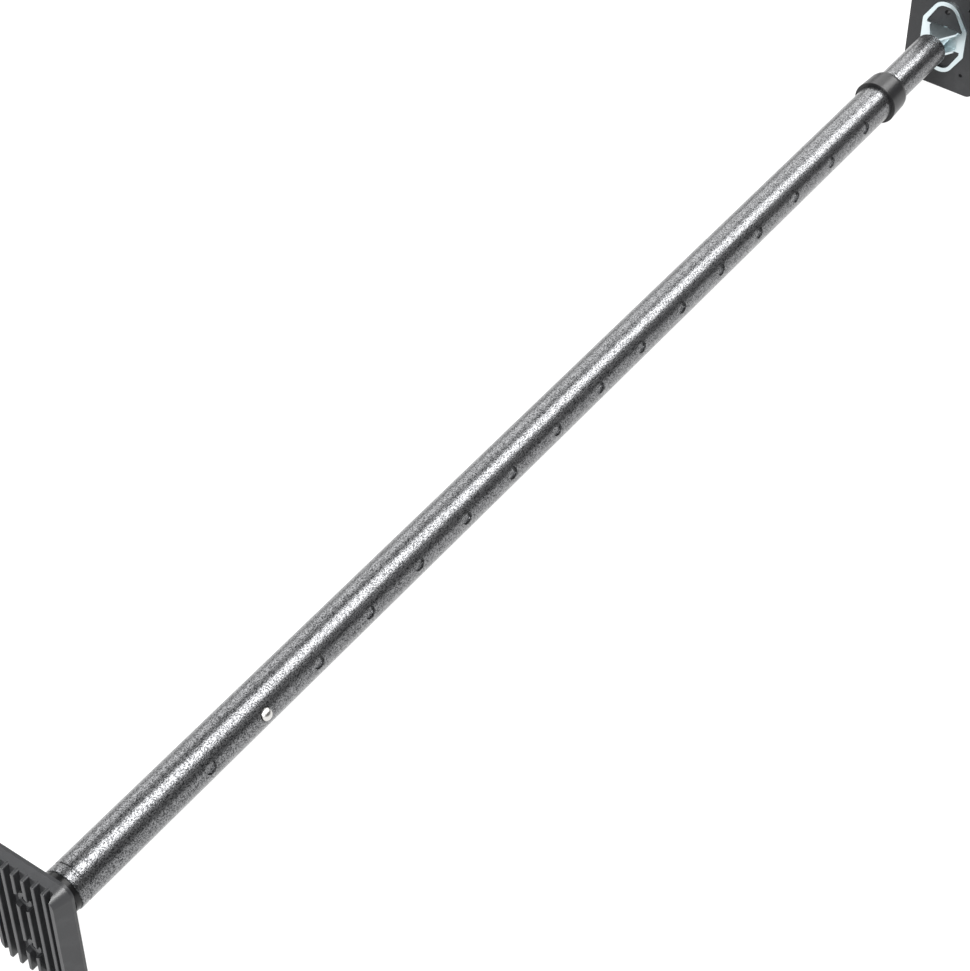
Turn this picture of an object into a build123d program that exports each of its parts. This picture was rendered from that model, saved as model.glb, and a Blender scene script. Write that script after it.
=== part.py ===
from build123d import *
import os
from math import cos, radians, sin

# Telescopic doorway pull up bar, in millimetres.
# The origin is on the bar's axis, at the wall face of the screw end's pad.
# +X runs along the bar to the slide end, +Z is up, and the adjusting holes face -Y and a little up.

# ---- driving dimensions: tubes ----
outer_diameter = 28.6
outer_wall = 1.52
outer_length = 918.0
inner_wall = 1.5
inner_stand_out = 67.3      # how far the inner tube stands out of the outer tube at rest
slide_clearance = 0.08      # radial, between the two tubes
tube_edge = 0.4             # small bevel on the tubes' outer edges

hole_pitch = 50.0
hole_diameter = 9.0
first_hole = 112.0          # from the outer tube's screw end to the first hole
hole_in_use = 1             # the hole that the button stands in, counted from 0
hole_row_angle = 22.0       # the row's height above level, in degrees

crimp_place = 6.4           # from the tube's end to the middle of the roll crimp
crimp_width = 2.4
crimp_depth = 0.5

# ---- wall pads ----
pad_width = 63.0
pad_height = 94.5
pad_thickness = 11.0
pad_edge = 2.0              # straight edge on the tube side, before the sides slope
pad_side_lean = 6.0         # how far each long side leans in
pad_end_lean = 7.0          # how far each short side leans in
pad_corner = 7.5
pad_front_corner = 5.5      # the same corner at the wall face
pad_rim = 2.6               # the flat border along each long side of the tread
rib_pitch = 7.5
rib_width = 2.7
rib_count = 6
rib_length = 89.0
rib_height = 4.6
rib_corner = 0.9            # at the ribs' ends
rib_round = 0.5             # along the ribs' front edges
rib_root = 1.4              # how far the ribs reach into the plate behind them
wall_screw_spacing = 43.4   # the two wall screws, one above the other
wall_screw_hole = 4.4
wall_screw_pocket = 13.0    # the round gap in the ribs
wall_screw_boss = 10.0      # the low ring round the hole, in the pocket
wall_screw_boss_face = 2.8  # from the wall face to the ring
pilot_width = 37.0          # the four small blind holes on the tube side
pilot_height = 60.0
pilot_diameter = 3.0
pilot_depth = 3.0

# ---- brackets ----
sheet = 2.0
bracket_width = 38.0
bracket_height = 63.6
bracket_side = 24.0         # length of the straight upright sides
bracket_top = 14.0          # width of the short flats at the top and bottom
bracket_ring = 3.8          # width of the sheet left round the windows
bracket_arch = 12.0         # radius of the corners at the top and bottom
bracket_corner = 3.5        # radius of the corners at the sides
web_height = 17.4           # the sheet between the windows, over the tongues' outer faces
tongue_base = 23.0
tongue_tip = 7.0
tongue_root = 2.5           # straight part of the tongue next to the web
slide_tongue = 16.0         # how far the slide end's tongues stand out
screw_tongue = 8.0          # the screw end's are trimmed, to clear the guide ring

# ---- places along the bar ----
pad_to_outer = 19.5         # from the pad's tube side to the outer tube
inner_to_pad = 21.0         # from the inner tube to the slide end's pad
button_inset = 62.0         # from the inner tube's inner end to the button

# ---- collar, guide ring and bush ----
collar_wall = 2.9
collar_taper = 1.0          # how much smaller the collar's far edge is, in radius
collar_cover = 19.0         # length of collar over the outer tube
collar_lip = 2.5
collar_clearance = 0.25     # between the collar's lip and the inner tube
collar_round = 1.2
ring_flange = 4.6
ring_inset = 0.7            # how much smaller than the tube the ring's flange is, in radius
ring_body = 13.0            # length of the ring inside the tube
ring_groove_gap = 0.2       # round the crimp that keeps the ring in
bush_flange = 4.0
bush_body = 12.0
bush_wall = 1.3

# ---- snap button ----
button_gap = 0.5            # between the button and the edge of its hole
button_clearance = 0.1
button_rise = 3.4           # how far the dome stands above the outer tube
button_flange = 10.4
button_flange_depth = 1.2
spring_width = 7.0
spring_sheet = 0.8
spring_leg = 34.0           # from the button to the start of the bend

# ---- screw end's tightening ----
thread_diameter = 12.0
thread_clearance = 0.05
tension_travel = 20.0       # how far the bar can be screwed out
head_diameter = 18.0
head_depth = 3.2
head_clearance = 0.4
stop_gap = 0.5              # between the nut and the stop ring at full travel
keyway_width = 2.4
keyway_depth = 1.3
key_clearance = 0.15
nut_length = 24.0
stop_diameter = 17.6
stop_depth = 2.0
pin_diameter = 3.0
pin_length = 20.0

# ---- slide end's swivel ----
bolt_diameter = 8.0
bolt_clearance = 0.06
spacer_diameter = 10.0
plug_length = 20.0
washer_diameter = 16.0
washer_depth = 1.5
swivel_play = 0.2           # end play on each side of the plug
locknut_flats = 13.0
locknut_depth = 8.0
bolt_beyond_nut = 2.0
rivet_diameter = 4.0
rivet_flush = 0.1           # how far the rivets lie below the tube's surface
rivet_reach = 5.0
rivet_place = 9.0           # from the inner tube's end

# ---- sizes worked out from them ----
outer_radius = outer_diameter / 2
bore_radius = outer_radius - outer_wall
inner_radius = bore_radius - slide_clearance
inner_bore = inner_radius - inner_wall
thread_radius = thread_diameter / 2
bolt_radius = bolt_diameter / 2
collar_diameter = outer_diameter + 2 * collar_wall
button_diameter = hole_diameter - 2 * button_gap

pad_face = pad_thickness
bracket_face = pad_face + sheet
outer_start = pad_face + pad_to_outer
outer_end = outer_start + outer_length
button_x = outer_start + first_hole + hole_in_use * hole_pitch
inner_start = button_x - button_inset
inner_end = outer_end + inner_stand_out
far_pad_face = inner_end + inner_to_pad
far_bracket_face = far_pad_face - sheet
far_wall = far_pad_face + pad_thickness
hole_room = outer_length - collar_cover - hole_diameter - first_hole
hole_count = int(hole_room / hole_pitch) + 1
nut_start = outer_start + ring_body + slide_clearance
spindle_end = nut_start + nut_length + tension_travel + stop_gap + stop_depth

os.makedirs("parts", exist_ok=True)


# ---- plain shapes ----
def across(x, y=0.0, z=0.0):
    """A plane across the bar at x, whose own x is +Y and own y is +Z."""
    return Plane(origin=(x, y, z), x_dir=(0, 1, 0), z_dir=(1, 0, 0))


def rod(start, end, radius, y=0.0, z=0.0):
    """A round bar along +X from start to end."""
    return extrude(across(start, y, z) * Circle(radius), end - start)


def pipe(start, end, radius, bore):
    return rod(start, end, radius) - rod(start - 1, end + 1, bore)


def turned(points):
    """Turn an outline of (x, radius) points about the bar's axis."""
    return revolve(Plane.XY * make_face(Polyline(*points, close=True)), Axis.X)


def to_holes(shape):
    """Turn a shape that points along -Y until it points along the row of holes."""
    return Rot(X=-hole_row_angle) * shape


def outward_rod(x, low, high, radius):
    """A round bar at x that points along -Y, from low to high, measured from the bar's axis."""
    plane = Plane(origin=(x, -low, 0), x_dir=(1, 0, 0), z_dir=(0, -1, 0))
    return extrude(plane * Circle(radius), high - low)


def at_slide_end(shape):
    """Turn a shape made for the screw end to face back along the bar from the other wall."""
    return Pos(X=far_wall) * Rot(Z=180) * shape


# ---- wall pads ----
def pad_outline(x, lean_y, lean_z, corner):
    return across(x) * RectangleRounded(pad_width - 2 * lean_y, pad_height - 2 * lean_z, corner)


def pad_block():
    """Square at its edge on the tube side, then leaning in on all four sides towards the wall face."""
    wall = pad_outline(0, pad_side_lean, pad_end_lean, pad_front_corner)
    edge = pad_outline(pad_thickness - pad_edge, 0, 0, pad_corner)
    return loft([wall, edge]) + extrude(edge, pad_edge)


def pad_rib(y):
    """One upright rib with rounded corners and rounded front edges."""
    outline = RectangleRounded(rib_width, rib_length, rib_corner)
    rib = extrude(across(0, y) * outline, rib_height + rib_root)
    return fillet(rib.edges().group_by(Axis.X)[0], rib_round)


def tread():
    """The ribs, with a round gap in them at each wall screw and a low ring in the gap."""
    ribs = Part()
    for i in range(rib_count):
        ribs += pad_rib((i - (rib_count - 1) / 2) * rib_pitch)
    rings = Part()
    for side in (-1, 1):
        z = side * wall_screw_spacing / 2
        ribs -= rod(-1, rib_height, wall_screw_pocket / 2, 0, z)
        rings += rod(wall_screw_boss_face, rib_height + rib_root, wall_screw_boss / 2, 0, z)
    return ribs + rings


def make_pad():
    floor_width = pad_width - 2 * (pad_side_lean + pad_rim)
    channel = extrude(across(-1) * Rectangle(floor_width, 2 * pad_height), 1 + rib_height)
    pad = pad_block() - channel + tread()
    for side in (-1, 1):
        pad -= rod(-1, pad_face + 1, wall_screw_hole / 2, 0, side * wall_screw_spacing / 2)
        for end in (-1, 1):
            y = side * pilot_width / 2
            z = end * pilot_height / 2
            pad -= rod(pad_face - pilot_depth, pad_face + 1, pilot_diameter / 2, y, z)
    pocket_depth = head_depth + head_clearance
    pad -= rod(pad_face - pocket_depth, pad_face + 1, head_diameter / 2 + head_clearance)
    return pad


# ---- brackets ----
def octagon(width, height, side, top):
    """A tall octagon about the bar's axis, from its overall sizes and its straight edges."""
    w, h, s, t = width / 2, height / 2, side / 2, top / 2
    return Polygon((w, -s), (w, s), (t, h), (-t, h), (-w, s), (-w, -s), (-t, -h), (t, -h), align=None)


def rounded(outline, half_width, arch, corner):
    """Round the corners at the top and bottom by one radius, and those at the sides by another."""
    outline = fillet(outline.vertices().filter_by(lambda v: abs(v.X) < half_width * 0.7), arch)
    return fillet(outline.vertices().filter_by(lambda v: abs(v.X) > half_width - 0.01), corner)


def bracket_window():
    """The ring's inner outline, less the web across its middle, as two faces."""
    inset = 2 * bracket_ring
    inner = octagon(bracket_width - inset, bracket_height - inset, bracket_side - bracket_ring / 2,
                    bracket_top - bracket_ring / 2)
    arch = bracket_arch - bracket_ring
    inner = rounded(inner, bracket_width / 2 - bracket_ring, arch, bracket_corner - bracket_ring / 2)
    return inner - Rectangle(bracket_width, web_height)


def tongue(length, side):
    """A tongue folded out of one window: a short straight root, then narrowing to its tip."""
    base, tip = tongue_base / 2, tongue_tip / 2
    plane = Plane(origin=(bracket_face - sheet, 0, side * (web_height / 2 - sheet)), x_dir=(1, 0, 0),
                  z_dir=(0, 0, side))
    root = sheet + tongue_root
    reach = sheet + length
    outline = Polygon((0, -base), (root, -base), (reach, -tip), (reach, tip), (root, base), (0, base),
                      align=None)
    tip_corners = outline.vertices().sort_by(Axis.X)[-2:]
    return extrude(plane * fillet(tip_corners, tongue_tip / 4), sheet)


def make_bracket(tongue_length, hole_radius):
    plate = octagon(bracket_width, bracket_height, bracket_side, bracket_top)
    plate = rounded(plate, bracket_width / 2, bracket_arch, bracket_corner)
    bracket = extrude(across(pad_face) * (plate - bracket_window()), sheet)
    for side in (-1, 1):
        bracket += tongue(tongue_length, side)
    bracket -= rod(pad_face - 1, bracket_face + 1, hole_radius)
    return bracket


# ---- tubes ----
def make_outer_tube():
    """A tube rolled in round the guide ring, with the row of adjusting holes."""
    near = outer_start + crimp_place - crimp_width / 2
    far = near + crimp_width
    flat = crimp_width / 3
    top = outer_radius
    low = bore_radius
    outline = [
        (outer_start, low), (outer_start, top - tube_edge), (outer_start + tube_edge, top),
        (near, top), (near + flat, top - crimp_depth), (far - flat, top - crimp_depth), (far, top),
        (outer_end - tube_edge, top), (outer_end, top - tube_edge), (outer_end, low),
        (far, low), (far - flat, low - crimp_depth), (near + flat, low - crimp_depth), (near, low),
    ]
    tube = turned(outline)
    for i in range(hole_count):
        x = outer_start + first_hole + i * hole_pitch
        tube -= to_holes(outward_rod(x, 0, outer_radius + 1, hole_diameter / 2))
    return tube


def rivet_angles():
    """The rivets stand on the side away from the holes, as angles from -Y towards +Z."""
    return [hole_row_angle + 180 + lean for lean in (-45, 45)]


def make_inner_tube():
    outline = [
        (inner_start, inner_bore), (inner_start, inner_radius - tube_edge),
        (inner_start + tube_edge, inner_radius), (inner_end - tube_edge, inner_radius),
        (inner_end, inner_radius - tube_edge), (inner_end, inner_bore),
    ]
    tube = turned(outline)
    button_hole = button_diameter / 2 + button_clearance
    tube -= to_holes(outward_rod(button_x, 0, inner_radius + 1, button_hole))
    for angle in rivet_angles():
        hole = outward_rod(inner_end - rivet_place, 0, inner_radius + 1, rivet_diameter / 2)
        tube -= Rot(X=-angle) * hole
    return tube


def make_collar():
    """Pressed over the outer tube, with a lip that guides the inner tube."""
    start = outer_end - collar_cover
    end = outer_end + collar_lip
    top = collar_diameter / 2
    far_top = top - collar_taper
    lip = inner_radius + collar_clearance
    knee = end - 3 * collar_round
    outline = [
        (start, outer_radius), (start, top - collar_round / 3), (start + collar_round / 3, top),
        (knee, far_top), (end - collar_round, far_top - collar_round / 2),
        (end, far_top - 1.5 * collar_round), (end, lip), (outer_end, lip), (outer_end, outer_radius),
    ]
    return turned(outline)


# ---- snap button ----
def make_button():
    radius = button_diameter / 2
    top = outer_radius + button_rise
    dome_height = radius * 0.65
    sphere_radius = (radius ** 2 + dome_height ** 2) / (2 * dome_height)
    shank_low = button_seat()
    shank = outward_rod(button_x, shank_low, top, radius)
    shank &= Pos(button_x, -(top - sphere_radius), 0) * Sphere(sphere_radius) + outward_rod(
        button_x, shank_low, top - dome_height, radius)
    flange = outward_rod(button_x, shank_low - button_flange_depth, shank_low, button_flange / 2)
    return to_holes(shank + flange)


def button_seat():
    """How far from the axis the button's flange can lie under the inner tube's wall."""
    return (inner_bore ** 2 - (button_flange / 2) ** 2) ** 0.5 - button_clearance


def make_button_spring():
    """A strip bent back on itself: one leg under the button, the other on the far wall."""
    upper = button_seat() - button_flange_depth - spring_sheet / 2
    wall = (inner_bore ** 2 - (spring_width / 2) ** 2) ** 0.5
    lower = -(wall - button_clearance - spring_sheet / 2)
    middle = (upper + lower) / 2
    bend = (upper - lower) / 2
    bend_x = button_x + spring_leg
    start = button_x - button_flange / 2
    outer_bend = bend + spring_sheet / 2
    inner_bend = bend - spring_sheet / 2

    def sheet_loop(radius):
        return Pos(bend_x, -middle, 0) * Circle(radius) + Pos((start + bend_x) / 2, -middle, 0) * Rectangle(
            bend_x - start, 2 * radius)

    outline = sheet_loop(outer_bend) - sheet_loop(inner_bend)
    strip = extrude(outline, spring_width / 2, both=True)
    keep = Pos((start + bend_x + outer_bend) / 2, 0, 0) * Box(bend_x + outer_bend - start, 60, 60)
    return to_holes(strip & keep)


# ---- screw end's tightening ----
def make_spindle():
    """Threaded rod with a flat head behind the bracket and a keyway along its top."""
    end = spindle_end
    spindle = rod(pad_face - head_depth, pad_face, head_diameter / 2) + rod(pad_face, end, thread_radius)
    key_low = thread_radius - keyway_depth
    slot_start = bracket_face + 2 * pin_diameter
    slot = Pos((slot_start + end + 1) / 2, 0, key_low + keyway_depth) * Box(
        end + 1 - slot_start, keyway_width, 2 * keyway_depth)
    pin_hole = Pos(pin_x(), 0, 0) * Rot(X=90) * Cylinder(pin_diameter / 2, thread_diameter + 2)
    return spindle - slot - pin_hole


def pin_x():
    return bracket_face + pin_diameter / 2


def make_spindle_pin():
    return Pos(pin_x(), 0, 0) * Rot(X=90) * Cylinder(pin_diameter / 2, pin_length)


def make_stop_ring():
    """Pinned on the spindle's inner end, so that the bar can't be unscrewed from it."""
    return pipe(spindle_end - stop_depth, spindle_end, stop_diameter / 2, thread_radius)


def make_end_ring():
    """Guide ring: it slides along the spindle, kept straight by its key, and the tube turns on it."""
    start = outer_start - ring_flange
    end = outer_start + ring_body
    body = bore_radius - slide_clearance
    groove = bore_radius - crimp_depth - ring_groove_gap
    near = outer_start + crimp_place - crimp_width / 2 - ring_groove_gap
    far = near + crimp_width + 2 * ring_groove_gap
    flange = outer_radius - ring_inset
    bore = thread_radius + slide_clearance
    outline = [
        (start, bore), (start, flange - tube_edge), (start + tube_edge, flange), (outer_start, flange),
        (outer_start, body), (near, body), (near, groove), (far, groove), (far, body), (end, body),
        (end, bore),
    ]
    key_width = keyway_width - 2 * key_clearance
    key_low = thread_radius - keyway_depth + key_clearance
    key = Pos((start + end) / 2, 0, key_low + bore / 4) * Box(end - start, key_width, bore / 2)
    return turned(outline) + key


def make_tension_nut():
    return pipe(nut_start, nut_start + nut_length, bore_radius, thread_radius + thread_clearance)


# ---- inner tube's ends ----
def make_guide_bush():
    """Plastic bush on the inner end of the inner tube."""
    start = inner_start - bush_flange
    outline = [
        (start, inner_bore - bush_wall), (start, inner_radius - tube_edge), (start + tube_edge, inner_radius),
        (inner_start, inner_radius), (inner_start, inner_bore), (inner_start + bush_body, inner_bore),
        (inner_start + bush_body, inner_bore - bush_wall),
    ]
    return turned(outline)


def make_swivel_plug():
    """Steel plug in the outer end of the inner tube, bored for the swivel bolt."""
    plug = pipe(inner_end - plug_length, inner_end, inner_bore, bolt_radius + bolt_clearance)
    for angle in rivet_angles():
        low = inner_bore - rivet_reach
        hole = outward_rod(inner_end - rivet_place, low, inner_bore + 1, rivet_diameter / 2)
        plug -= Rot(X=-angle) * hole
    return plug


def make_plug_rivets():
    """Two rivets through the tube's wall into the plug, dressed flush with the tube."""
    x = inner_end - rivet_place
    surface = rod(x - rivet_diameter, x + rivet_diameter, inner_radius - rivet_flush)
    shank = outward_rod(x, inner_bore - rivet_reach, inner_radius + 1, rivet_diameter / 2) & surface
    return Compound([Rot(X=-angle) * shank for angle in rivet_angles()])


# ---- slide end's swivel ----
def make_swivel_bolt():
    nut_end = inner_end - plug_length - swivel_play - washer_depth - locknut_depth
    head = rod(far_pad_face, far_pad_face + head_depth, head_diameter / 2)
    return head + rod(nut_end - bolt_beyond_nut, far_pad_face, bolt_radius)


def make_swivel_spacer():
    start = inner_end + swivel_play + washer_depth
    return pipe(start, far_bracket_face, spacer_diameter / 2, bolt_radius)


def make_thrust_washers():
    outside = inner_end + swivel_play
    inside = inner_end - plug_length - swivel_play - washer_depth
    return Compound([pipe(x, x + washer_depth, washer_diameter / 2, bolt_radius) for x in (outside, inside)])


def make_swivel_locknut():
    end = inner_end - plug_length - swivel_play - washer_depth
    corner = locknut_flats / 2 / cos(radians(30))
    nut = extrude(across(end - locknut_depth) * RegularPolygon(corner, 6), locknut_depth)
    return nut - rod(end - locknut_depth - 1, end + 1, bolt_radius)


parts = {
    "screw_end_pad": make_pad(),
    "screw_end_bracket": make_bracket(screw_tongue, thread_radius),
    "tension_spindle": make_spindle(),
    "spindle_pin": make_spindle_pin(),
    "spindle_stop_ring": make_stop_ring(),
    "end_ring": make_end_ring(),
    "outer_tube": make_outer_tube(),
    "tension_nut": make_tension_nut(),
    "tube_collar": make_collar(),
    "inner_tube": make_inner_tube(),
    "guide_bush": make_guide_bush(),
    "button_spring": make_button_spring(),
    "snap_button": make_button(),
    "swivel_plug": make_swivel_plug(),
    "plug_rivets": make_plug_rivets(),
    "slide_end_pad": at_slide_end(make_pad()),
    "slide_end_bracket": at_slide_end(make_bracket(slide_tongue, bolt_radius)),
    "swivel_bolt": make_swivel_bolt(),
    "swivel_spacer": make_swivel_spacer(),
    "thrust_washers": make_thrust_washers(),
    "swivel_locknut": make_swivel_locknut(),
}

for name, shape in parts.items():
    export_step(shape, f"parts/{name}.step")
    print(name, round(shape.volume), "mm3")
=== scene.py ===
# %% [markdown]
# # A telescopic doorway pull up bar
# The real bar is two steel tubes, one sliding inside the other, with a ribbed rubber pad on a zinc plated
# bracket at each end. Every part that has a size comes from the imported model, which is the frame of this
# scene. Here it gets its finishes, its floor, its light and its camera, one short cell at a time.

import math

import bpy
from mathutils import Matrix, Vector


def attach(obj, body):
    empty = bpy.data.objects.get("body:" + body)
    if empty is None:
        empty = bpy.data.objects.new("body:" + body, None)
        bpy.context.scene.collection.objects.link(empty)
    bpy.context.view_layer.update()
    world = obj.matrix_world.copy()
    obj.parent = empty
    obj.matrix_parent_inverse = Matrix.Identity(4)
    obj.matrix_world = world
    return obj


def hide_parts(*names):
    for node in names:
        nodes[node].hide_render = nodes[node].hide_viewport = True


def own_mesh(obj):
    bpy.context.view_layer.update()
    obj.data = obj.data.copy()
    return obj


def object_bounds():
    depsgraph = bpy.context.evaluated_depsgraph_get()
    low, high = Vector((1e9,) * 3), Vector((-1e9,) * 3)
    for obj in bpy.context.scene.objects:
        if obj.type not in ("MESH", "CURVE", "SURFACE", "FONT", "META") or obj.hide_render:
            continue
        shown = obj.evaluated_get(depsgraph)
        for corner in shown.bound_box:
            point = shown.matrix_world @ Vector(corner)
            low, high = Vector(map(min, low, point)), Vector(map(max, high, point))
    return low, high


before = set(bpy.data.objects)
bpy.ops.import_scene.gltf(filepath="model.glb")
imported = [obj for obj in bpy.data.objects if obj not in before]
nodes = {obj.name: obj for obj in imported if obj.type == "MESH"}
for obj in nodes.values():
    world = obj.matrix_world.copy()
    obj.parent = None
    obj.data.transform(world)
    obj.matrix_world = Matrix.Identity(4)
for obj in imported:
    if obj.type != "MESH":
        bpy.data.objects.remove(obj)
cad_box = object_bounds()
print("parts:", len(nodes), "box:", cad_box)

# %% [markdown]
# ## Small tools for node materials
# A material is a tree of nodes. A few helpers keep each finish readable. One starts a material, and one
# adds a node and sets its inputs by name. One starts a node group, so that an effect is built once and
# reused, and one places it in a material. The rest add a colour ramp, a sum, a blend of two colours, a
# roughness that varies and a slight relief.

# %% Helpers for materials
def new_material(name):
    """A material with one Principled shader; returns the material, its tree and the shader."""
    material = bpy.data.materials.new(name)
    material.use_nodes = True
    tree = material.node_tree
    shader = tree.nodes["Principled BSDF"]
    return material, tree, shader


def feed(tree, socket, value):
    """Links a socket to another one, or sets it to a plain value."""
    if isinstance(value, bpy.types.NodeSocket):
        tree.links.new(value, socket)
    else:
        socket.default_value = value


def add(tree, kind, props=None, **inputs):
    """Adds a node, sets its properties, and feeds its inputs by name, or by number as i0, i1 and so on."""
    made = tree.nodes.new(kind)
    for key, value in (props or {}).items():
        setattr(made, key, value)
    for key, value in inputs.items():
        numbered = key[0] == "i" and key[1:].isdigit()
        feed(tree, made.inputs[int(key[1:]) if numbered else key.replace("_", " ")], value)
    return made


def ramp(tree, source, dark_end, light_end):
    """A ramp that is black up to dark_end and white from light_end on."""
    made = add(tree, "ShaderNodeValToRGB", Fac=source)
    first, last = made.color_ramp.elements
    first.position, first.color = dark_end, (0, 0, 0, 1)
    last.position, last.color = light_end, (1, 1, 1, 1)
    return made.outputs["Color"]


print("helpers for nodes ready")

# %% Helpers for groups
def new_group(name, inputs, outputs):
    """A shader node group with named sockets; returns the group, its input node and its output node."""
    group = bpy.data.node_groups.new(name, "ShaderNodeTree")
    for label, kind, value in inputs:
        socket = group.interface.new_socket(label, in_out="INPUT", socket_type=kind)
        socket.default_value = value
    for label, kind in outputs:
        group.interface.new_socket(label, in_out="OUTPUT", socket_type=kind)
    return group, group.nodes.new("NodeGroupInput"), group.nodes.new("NodeGroupOutput")


def use_group(tree, group, **inputs):
    """Places a group in a material, with its own values."""
    return add(tree, "ShaderNodeGroup", {"node_tree": group}, **inputs)


print("helpers for groups ready")

# %% Helpers for sums, colours and surfaces
def math_node(tree, operation, a, b, clamp=False):
    """One sum of two numbers that change over the surface."""
    return add(tree, "ShaderNodeMath", {"operation": operation, "use_clamp": clamp}, i0=a, i1=b).outputs[0]


def mix_colour(tree, share, a, b):
    """Colour a where share is 0 and colour b where it is 1. Inputs 6 and 7 are the node's colour ones."""
    return add(tree, "ShaderNodeMix", {"data_type": "RGBA"}, i0=share, i6=a, i7=b).outputs[2]


def grey(shade, blue=1.0):
    """A grey, with its blue scaled to tint it."""
    return (shade, shade, shade * blue, 1)


def spread_roughness(tree, shader, mask, at_zero, at_one):
    """Varies the roughness with a mask, from one value where it is 0 to the other where it is 1."""
    spread = add(tree, "ShaderNodeMapRange", Value=mask, To_Min=at_zero, To_Max=at_one)
    tree.links.new(spread.outputs[0], shader.inputs["Roughness"])


def add_relief(tree, shader, height, strength, depth):
    """Raises the surface where height is greatest, by up to depth metres."""
    relief = add(tree, "ShaderNodeBump", Height=height, Strength=strength, Distance=depth)
    tree.links.new(relief.outputs[0], shader.inputs["Normal"])


print("helpers for surfaces ready")

# %% [markdown]
# ## Effects that several finishes share
# Grain is the fine unevenness that any moulded or plated surface has. Wear is the rub marks that handling
# leaves. The first puts out a fine mask and a slow cloud, the second a mask of the rubbed places. Both
# are groups measured in object space, so they have one real size on every part.

# %% The grain group
def make_grain():
    group, source, out = new_group(
        "grain",
        [("Size", "NodeSocketFloat", 900.0), ("Detail", "NodeSocketFloat", 3.0)],
        [("Mask", "NodeSocketFloat"), ("Cloud", "NodeSocketFloat")],
    )
    place = add(group, "ShaderNodeTexCoord").outputs["Object"]
    fine = add(group, "ShaderNodeTexNoise", Vector=place, Scale=source.outputs["Size"],
               Detail=source.outputs["Detail"])
    cloud = add(group, "ShaderNodeTexNoise", Vector=place, Scale=22.0, Detail=2.0)
    group.links.new(fine.outputs["Fac"], out.inputs["Mask"])
    group.links.new(cloud.outputs["Fac"], out.inputs["Cloud"])
    return group


grain = make_grain()
print("group:", grain.name)

# %% The wear group
def make_wear():
    group, source, out = new_group(
        "wear",
        [("Amount", "NodeSocketFloat", 0.5), ("Size", "NodeSocketFloat", 60.0)],
        [("Mask", "NodeSocketFloat")],
    )
    place = add(group, "ShaderNodeTexCoord").outputs["Object"]
    stretched = add(group, "ShaderNodeMapping", Vector=place, Scale=(0.35, 1.0, 1.0))
    patches = add(group, "ShaderNodeTexNoise", Vector=stretched.outputs[0], Scale=source.outputs["Size"],
                  Detail=6.0, Roughness=0.65)
    worn = ramp(group, patches.outputs["Fac"], 0.5, 0.72)
    share = math_node(group, "MULTIPLY", worn, source.outputs["Amount"], clamp=True)
    group.links.new(share, out.inputs["Mask"])
    return group


wear = make_wear()
print("group:", wear.name)

# %% [markdown]
# ## Hammertone powder coat
# The tubes are coated with a powder that flows into small silver and black cells as it cures. The cells
# are about a millimetre across and uneven. A fine noise makes them, a coarser one makes patches with more
# or less silver, and a steep ramp parts silver from black. The same cells drive the colour, the gloss and
# a slight relief.

# %% The hammertone group
def make_hammertone_cells():
    group, source, out = new_group(
        "hammertone_cells",
        [("Size", "NodeSocketFloat", 1100.0), ("Silver", "NodeSocketFloat", 0.5),
         ("Patches", "NodeSocketFloat", 0.1)],
        [("Cells", "NodeSocketFloat"), ("Relief", "NodeSocketFloat")],
    )
    place = add(group, "ShaderNodeTexCoord").outputs["Object"]
    small = add(group, "ShaderNodeTexNoise", Vector=place, Scale=source.outputs["Size"], Detail=2.0,
                Roughness=0.7, Distortion=0.4)
    patch_size = math_node(group, "MULTIPLY", source.outputs["Size"], 0.2)
    patches = add(group, "ShaderNodeTexNoise", Vector=place, Scale=patch_size, Detail=2.0)
    drift = math_node(group, "SUBTRACT", patches.outputs["Fac"], 0.5)
    spread = math_node(group, "MULTIPLY", drift, source.outputs["Patches"])
    summed = math_node(group, "ADD", small.outputs["Fac"], spread)
    level = math_node(group, "SUBTRACT", summed, source.outputs["Silver"])
    cells = ramp(group, math_node(group, "ADD", level, 0.5), 0.42, 0.58)
    group.links.new(cells, out.inputs["Cells"])
    group.links.new(small.outputs["Fac"], out.inputs["Relief"])
    return group


hammertone_cells = make_hammertone_cells()
print("group:", hammertone_cells.name)

# %% The hammertone finish
def make_hammertone():
    material, tree, shader = new_material("hammertone")
    cells = use_group(tree, hammertone_cells, Size=1100.0, Silver=0.5, Patches=0.1)
    marks = use_group(tree, wear, Amount=0.12, Size=40.0)
    coat = mix_colour(tree, cells.outputs["Cells"], (0.022, 0.023, 0.025, 1), (0.235, 0.237, 0.243, 1))
    rubbed = mix_colour(tree, marks.outputs["Mask"], coat, (0.14, 0.14, 0.142, 1))
    tree.links.new(rubbed, shader.inputs["Base Color"])
    spread_roughness(tree, shader, cells.outputs["Cells"], 0.35, 0.27)
    shader.inputs["Metallic"].default_value = 0.9
    shader.inputs["Coat Weight"].default_value = 0.35
    shader.inputs["Coat Roughness"].default_value = 0.25
    add_relief(tree, shader, cells.outputs["Relief"], 0.45, 0.0002)
    return material


hammertone = make_hammertone()
print("finish:", hammertone.name)

# %% [markdown]
# ## Moulded rubber
# The wall pads are black rubber from a satin mould: dark grey, a little uneven, with a soft sheen where
# light grazes it and paler rubbed patches.

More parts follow.
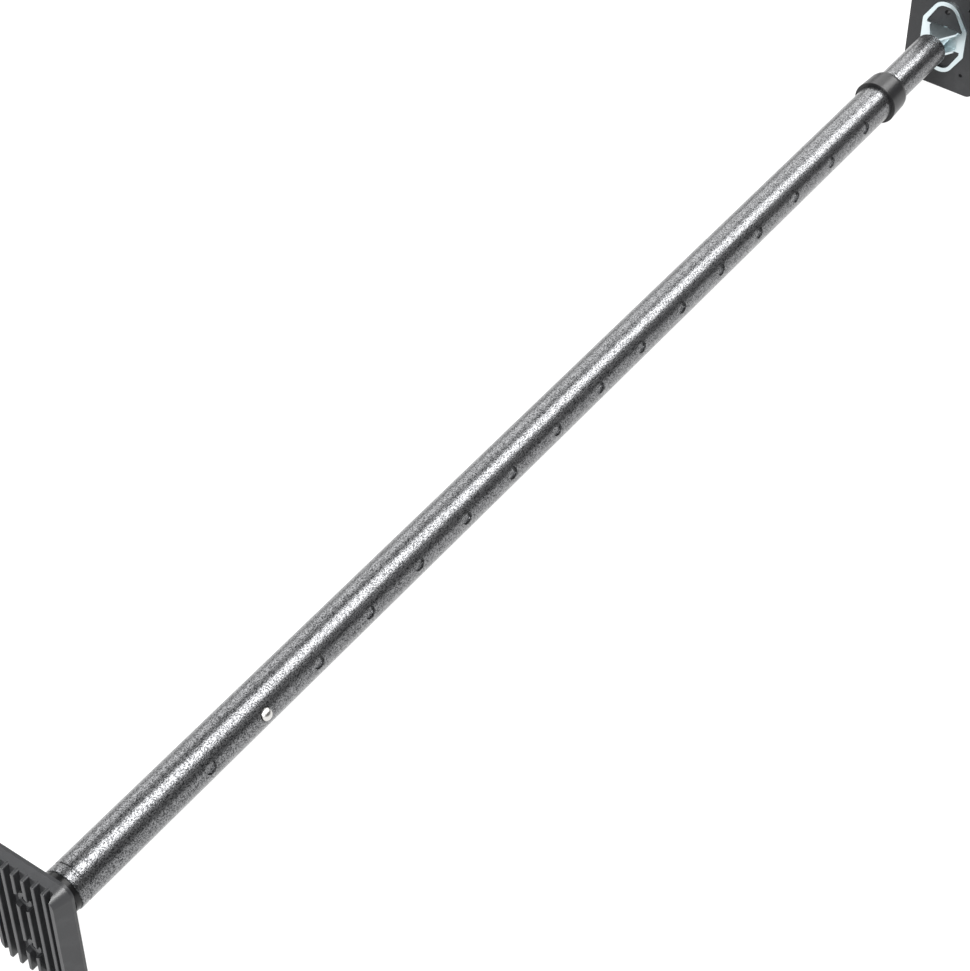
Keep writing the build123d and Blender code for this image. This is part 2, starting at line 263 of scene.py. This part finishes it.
# %% The pad rubber finish
def make_pad_rubber():
    material, tree, shader = new_material("pad_rubber")
    skin = use_group(tree, grain, Size=2600.0, Detail=4.0)
    marks = use_group(tree, wear, Amount=0.3, Size=70.0)
    black = (0.012, 0.0125, 0.0135, 1)
    bloom = (0.024, 0.0245, 0.026, 1)
    rub_mark = (0.045, 0.046, 0.048, 1)
    clouded = mix_colour(tree, skin.outputs["Cloud"], black, bloom)
    rubbed = mix_colour(tree, marks.outputs["Mask"], clouded, rub_mark)
    tree.links.new(rubbed, shader.inputs["Base Color"])
    spread_roughness(tree, shader, skin.outputs["Mask"], 0.32, 0.42)
    shader.inputs["Specular IOR Level"].default_value = 0.33
    add_relief(tree, shader, skin.outputs["Mask"], 0.2, 0.0002)
    return material


pad_rubber = make_pad_rubber()
print("finish:", pad_rubber.name)

# %% [markdown]
# ## Black plastic
# The collar, the guide ring and the bush are injection moulded. The plastic is blacker and tighter
# grained than the rubber, and its satin skin shows broad soft reflections.

# %% The black plastic finishes
def make_black_plastic(name, deep, pale, smooth, rough, shine):
    """Moulded plastic that drifts between two near blacks, with a given strength of reflection."""
    material, tree, shader = new_material(name)
    skin = use_group(tree, grain, Size=3200.0, Detail=3.0)
    marks = use_group(tree, wear, Amount=0.2, Size=90.0)
    cool = 1.05
    scuff_lift = 1.8
    base = mix_colour(tree, skin.outputs["Cloud"], grey(deep, cool), grey(pale, cool))
    scuffed = mix_colour(tree, marks.outputs["Mask"], base, grey(pale * scuff_lift))
    tree.links.new(scuffed, shader.inputs["Base Color"])
    spread_roughness(tree, shader, skin.outputs["Mask"], smooth, rough)
    shader.inputs["Specular IOR Level"].default_value = shine
    add_relief(tree, shader, skin.outputs["Mask"], 0.12, 0.0001)
    return material


black_plastic = make_black_plastic("black_plastic", 0.008, 0.014, 0.26, 0.36, 0.36)
ring_plastic = make_black_plastic("ring_plastic", 0.004, 0.008, 0.2, 0.3, 0.2)
print("finishes:", black_plastic.name, ring_plastic.name)

# %% [markdown]
# ## Zinc plate and bare steel
# Zinc plating is a bright metal with a faint blue cast and a clouded, slightly mottled gloss. The same
# recipe with other colours and roughness gives the bright button, the spring strip and the dark rivets.

# %% The metal finishes
def make_metal(name, pale, deep, smooth, rough, mottle):
    """A bare or plated metal that drifts between two colours and two roughnesses."""
    material, tree, shader = new_material(name)
    skin = use_group(tree, grain, Size=mottle, Detail=4.0)
    marks = use_group(tree, wear, Amount=0.4, Size=120.0)
    dulling = 0.8
    base = mix_colour(tree, skin.outputs["Cloud"], (*pale, 1), (*deep, 1))
    scuffed = mix_colour(tree, marks.outputs["Mask"], base, (*[c * dulling for c in pale], 1))
    tree.links.new(scuffed, shader.inputs["Base Color"])
    spread_roughness(tree, shader, skin.outputs["Mask"], smooth, rough)
    shader.inputs["Metallic"].default_value = 1.0
    add_relief(tree, shader, skin.outputs["Mask"], 0.1, 0.0001)
    return material


zinc_plate = make_metal("zinc_plate", (0.78, 0.84, 0.85), (0.6, 0.7, 0.73), 0.24, 0.4, 800.0)
bright_steel = make_metal("bright_steel", (0.72, 0.71, 0.69), (0.55, 0.54, 0.52), 0.26, 0.36, 1500.0)
spring_steel = make_metal("spring_steel", (0.45, 0.45, 0.47), (0.3, 0.3, 0.33), 0.25, 0.4, 1200.0)
dark_steel = make_metal("dark_steel", (0.14, 0.14, 0.14), (0.07, 0.07, 0.07), 0.35, 0.5, 1000.0)
print("metals:", zinc_plate.name, bright_steel.name, spring_steel.name, dark_steel.name)

# %% Put each finish on its parts
finishes = {
    hammertone: ["outer_tube", "inner_tube"],
    pad_rubber: ["screw_end_pad", "slide_end_pad"],
    black_plastic: ["tube_collar", "guide_bush"],
    ring_plastic: ["end_ring"],
    zinc_plate: ["screw_end_bracket", "slide_end_bracket", "tension_spindle", "tension_nut", "swivel_bolt",
                 "swivel_spacer", "thrust_washers", "swivel_locknut"],
    bright_steel: ["snap_button", "spindle_pin", "spindle_stop_ring", "swivel_plug"],
    spring_steel: ["button_spring"],
    dark_steel: ["plug_rivets"],
}
for material, names in finishes.items():
    for name in names:
        for slot in nodes[name].material_slots:
            slot.material = material
print("painted:", sum(len(names) for names in finishes.values()), "of", len(nodes))

# %% [markdown]
# ## The spring under the button
# The button stands on a strip of spring steel, bent back on itself inside the inner tube. Pressing the
# button closes the strip. A rigid solid can't do that, so a copy of its mesh, with mesh data of its own,
# takes its place on the inner tube.

# %% The spring strip
spring_strip = bpy.data.objects.new("spring_strip", nodes["button_spring"].data.copy())
spring_strip.data.materials.clear()
spring_strip.data.materials.append(spring_steel)
bpy.context.collection.objects.link(spring_strip)
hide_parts("button_spring")
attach(spring_strip, "inner")
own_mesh(spring_strip)

# %% [markdown]
# ## Floor, light and camera
# A bar that lies on its two pads is lit as a catalogue item. The floor is a white sheet that glows like a
# light table, so it stays white under the bar and fills the tubes' lower sides. Its own colour is dark,
# so that shadows hardly show on it. One long soft box overhead draws the bright line along the tubes, a
# lower one behind lifts their far edge, and two small ones pick out the near pad. The room itself is dim,
# which leaves the dark lines between those reflections. The camera stands beyond the near pad and to one
# side, and looks down on the bar at about 45 degrees through a long lens.

# %% The floor
low, high = (Vector(corner) for corner in cad_box)
middle = (low + high) / 2
floor_half = 12.0
floor_sides = ((-1, -1), (1, -1), (1, 1), (-1, 1))
corners = [(middle.x + a * floor_half, middle.y + b * floor_half, low.z) for a, b in floor_sides]
floor_mesh = bpy.data.meshes.new("floor")
floor_mesh.from_pydata(corners, [], [(0, 1, 2, 3)])
floor = bpy.data.objects.new("floor", floor_mesh)
bpy.context.collection.objects.link(floor)
paper, paper_tree, paper_shader = new_material("floor_paper")
paper_grain = use_group(paper_tree, grain, Size=300.0, Detail=2.0)
tone = mix_colour(paper_tree, paper_grain.outputs["Mask"], grey(0.1), grey(0.12))
paper_tree.links.new(tone, paper_shader.inputs["Base Color"])
paper_shader.inputs["Roughness"].default_value = 0.9
paper_shader.inputs["Emission Color"].default_value = grey(1)
paper_shader.inputs["Emission Strength"].default_value = 0.95
floor_mesh.materials.append(paper)
print("floor at z =", round(low.z, 4))

# %% The lights
def soft_box(name, place, target, size, power):
    """A rectangular light at place that faces target, with its size in metres and its power in watts."""
    light = bpy.data.lights.new(name, "AREA")
    light.shape = "RECTANGLE"
    light.size, light.size_y = size
    light.energy = power
    holder = bpy.data.objects.new(name, light)
    holder.location = place
    holder.rotation_euler = (Vector(target) - Vector(place)).to_track_quat("-Z", "Y").to_euler()
    bpy.context.collection.objects.link(holder)
    return holder


overhead = soft_box("overhead_box", (1.6, -0.42, 1.9), (1.6, -0.3, 0), (6.0, 1.25), 175)
behind = soft_box("behind_box", (1.7, 1.7, 1.1), (0.6, 0, 0), (5.0, 1.5), 60)
front = soft_box("front_box", (-1.6, -0.35, 1.1), (0, 0, 0), (0.35, 0.35), 60)
side = soft_box("side_box", (-0.75, 0.55, 0.3), (0, 0, 0), (0.4, 0.4), 4)
world = bpy.data.worlds.new("room")
world.use_nodes = True
room = world.node_tree.nodes["Background"]
room.inputs["Color"].default_value = grey(1)
room.inputs["Strength"].default_value = 0.06
bpy.context.scene.world = world
bpy.context.scene.view_settings.view_transform = "Standard"
print("lights:", overhead.name, behind.name, front.name, side.name)

# %% The camera
camera_data = bpy.data.cameras.new("camera")
camera = bpy.data.objects.new("camera", camera_data)
camera_data.lens = 97.16
camera_data.sensor_width = 36.0
azimuth = math.radians(-53.88)
elevation = math.radians(44.95)
roll = math.radians(-0.11)
place = Vector((-0.5383, -0.7066, 1.1929))
horizontal = math.cos(elevation)
back = Vector((math.sin(azimuth) * horizontal, -math.cos(azimuth) * horizontal, math.sin(elevation)))
level = Vector((math.cos(azimuth), math.sin(azimuth), 0))
upright = back.cross(level)
right = level * math.cos(roll) + upright * math.sin(roll)
up = upright * math.cos(roll) - level * math.sin(roll)
turn = Matrix((right, up, back)).transposed().to_4x4()
camera.matrix_world = Matrix.Translation(place) @ turn
bpy.context.collection.objects.link(camera)
bpy.context.scene.camera = camera
print("camera at", tuple(round(c, 3) for c in camera.location))
